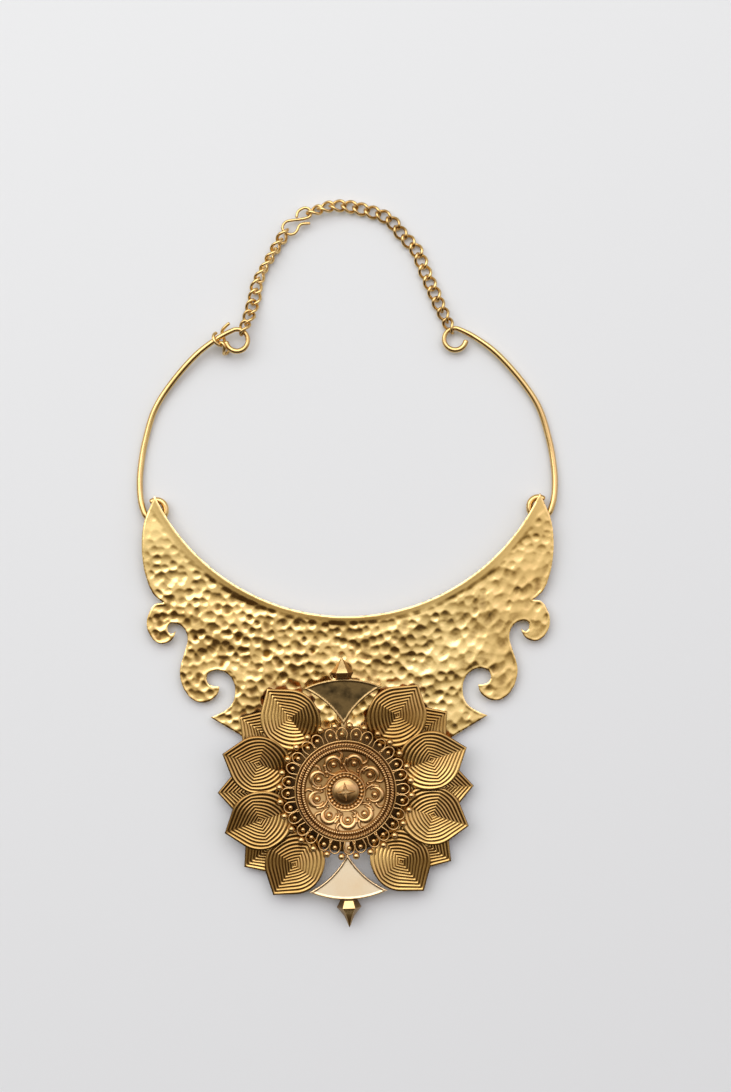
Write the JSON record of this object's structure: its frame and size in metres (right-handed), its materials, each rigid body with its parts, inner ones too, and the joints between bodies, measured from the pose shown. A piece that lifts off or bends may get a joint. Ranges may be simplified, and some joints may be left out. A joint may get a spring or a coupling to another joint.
{
  "type": "bib necklace",
  "caption": "Brass bib necklace: a hammered crescent with scrolled edges, a layered flower with a cast medallion, two bowed neck wires and a hooked curb chain.",
  "frame": {"origin": "on the table, under the middle of the necklace's box", "axes": "+Y from the flower up to the chain, +Z away from the table it lies on, +X across the bib"},
  "size_m": [0.1544, 0.2673, 0.0126],
  "materials": {
    "bright_brass": "hammered and polished, brown in the dents",
    "wire_brass": "polished wire",
    "petal_brass": "pressed sheet, aged, olive brown in the grooves",
    "cast_brass": "cast, warm, dark in the hollows",
    "fan_brass": "satin"
  },
  "bodies": {
    "root": {"back_petal_1": "petal_brass", "back_petal_2": "petal_brass", "back_petal_3": "petal_brass", "back_petal_4": "petal_brass", "back_petal_5": "petal_brass", "back_petal_6": "petal_brass", "centre_boss": "cast_brass", "fan_lower": "fan_brass", "fan_upper": "fan_brass", "filigree_gallery": "cast_brass", "finial_lower": "fan_brass", "finial_upper": "fan_brass", "flower_base": "petal_brass", "front_petal_1": "petal_brass", "front_petal_2": "petal_brass", "front_petal_3": "petal_brass", "front_petal_4": "petal_brass", "front_petal_5": "petal_brass", "front_petal_6": "petal_brass", "front_petal_7": "petal_brass", "front_petal_8": "petal_brass", "hammered_plate": "bright_brass", "left_link_01": "wire_brass", "left_link_02": "wire_brass", "left_link_03": "wire_brass", "left_link_04": "wire_brass", "left_link_05": "wire_brass", "left_link_06": "wire_brass", "left_link_07": "wire_brass", "left_link_08": "wire_brass", "left_link_09": "wire_brass", "left_link_10": "wire_brass", "medallion": "cast_brass", "neck_wire_left": "wire_brass", "neck_wire_right": "wire_brass", "right_link_01": "wire_brass", "right_link_02": "wire_brass", "right_link_03": "wire_brass", "right_link_04": "wire_brass", "right_link_05": "wire_brass", "right_link_06": "wire_brass", "right_link_07": "wire_brass", "right_link_08": "wire_brass", "right_link_09": "wire_brass", "right_link_10": "wire_brass", "right_link_11": "wire_brass", "right_link_12": "wire_brass", "right_link_13": "wire_brass", "right_link_14": "wire_brass", "right_link_15": "wire_brass", "right_link_16": "wire_brass", "right_link_17": "wire_brass", "right_link_18": "wire_brass", "s_hook": "wire_brass", "tail_hook": "wire_brass", "tail_link": "wire_brass"}
  },
  "joints": []
}
